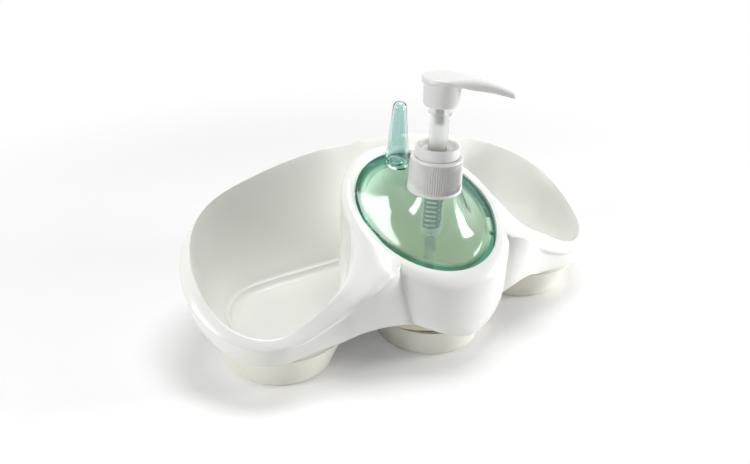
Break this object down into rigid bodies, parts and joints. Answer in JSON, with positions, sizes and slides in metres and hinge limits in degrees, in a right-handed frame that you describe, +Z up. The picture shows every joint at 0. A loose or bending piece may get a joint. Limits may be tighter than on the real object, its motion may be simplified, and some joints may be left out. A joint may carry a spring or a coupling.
{
  "type": "soap pump caddy",
  "caption": "Oval vanity caddy on three feet, with two open compartments beside a round turret that holds a liquid soap tank, a tinted lid with a ring cone and a push pump.",
  "frame": {"origin": "middle of the outline of the caddy, on the surface that its feet stand on", "axes": "+Z up, +X along the length to the right of someone who stands at the front, +Y to the high back rim; the turret and the pump are towards -Y"},
  "size_m": [0.2904, 0.1349, 0.1645],
  "materials": {
    "shell_white": "glossy opaque bright white",
    "base_ivory": "glossy opaque ivory white",
    "tank_natural": "milky translucent",
    "lid_green": "glossy transparent green tint",
    "cone_green": "glossy transparent green tint, lighter where it is thin",
    "pump_white": "satin to glossy opaque white",
    "pump_natural": "milky translucent",
    "gasket_white": "matt",
    "ball_steel": "polished",
    "spring_steel": "drawn wire"
  },
  "bodies": {
    "caddy": {"outer_shell": "shell_white", "base_pan": "base_ivory", "soap_tank": "tank_natural"},
    "lid": {"tank_lid": "lid_green", "ring_cone": "cone_green", "closure_cap": "pump_white", "neck_gasket": "gasket_white", "pump_housing": "pump_natural", "lock_collar": "pump_white", "dip_tube": "pump_natural", "return_spring": "spring_steel"},
    "plunger": {"piston_seal": "pump_natural", "valve_plug": "pump_natural"},
    "head": {"pump_stem": "pump_natural", "actuator_head": "pump_white"},
    "ball": {"check_ball": "ball_steel"}
  },
  "joints": [
    {"name": "lid_lift", "type": "slide", "parent": "caddy", "child": "lid", "axis": [0, 0, 1], "range_m": [0, 0.1]},
    {"name": "pump_press", "type": "slide", "parent": "lid", "child": "plunger", "axis": [0, 0, -1], "range_m": [0, 0.015], "stiffness_N_per_m": 400, "springref_m": -0.01, "deforming": ["return_spring"]},
    {"name": "head_swivel", "type": "hinge", "parent": "plunger", "child": "head", "pos_m": [0, -0.0215, 0.12], "axis": [0, 0, 1], "continuous": true},
    {"name": "ball_lift", "type": "slide", "parent": "lid", "child": "ball", "axis": [0, 0, 1], "range_m": [0, 0.001]}
  ]
}
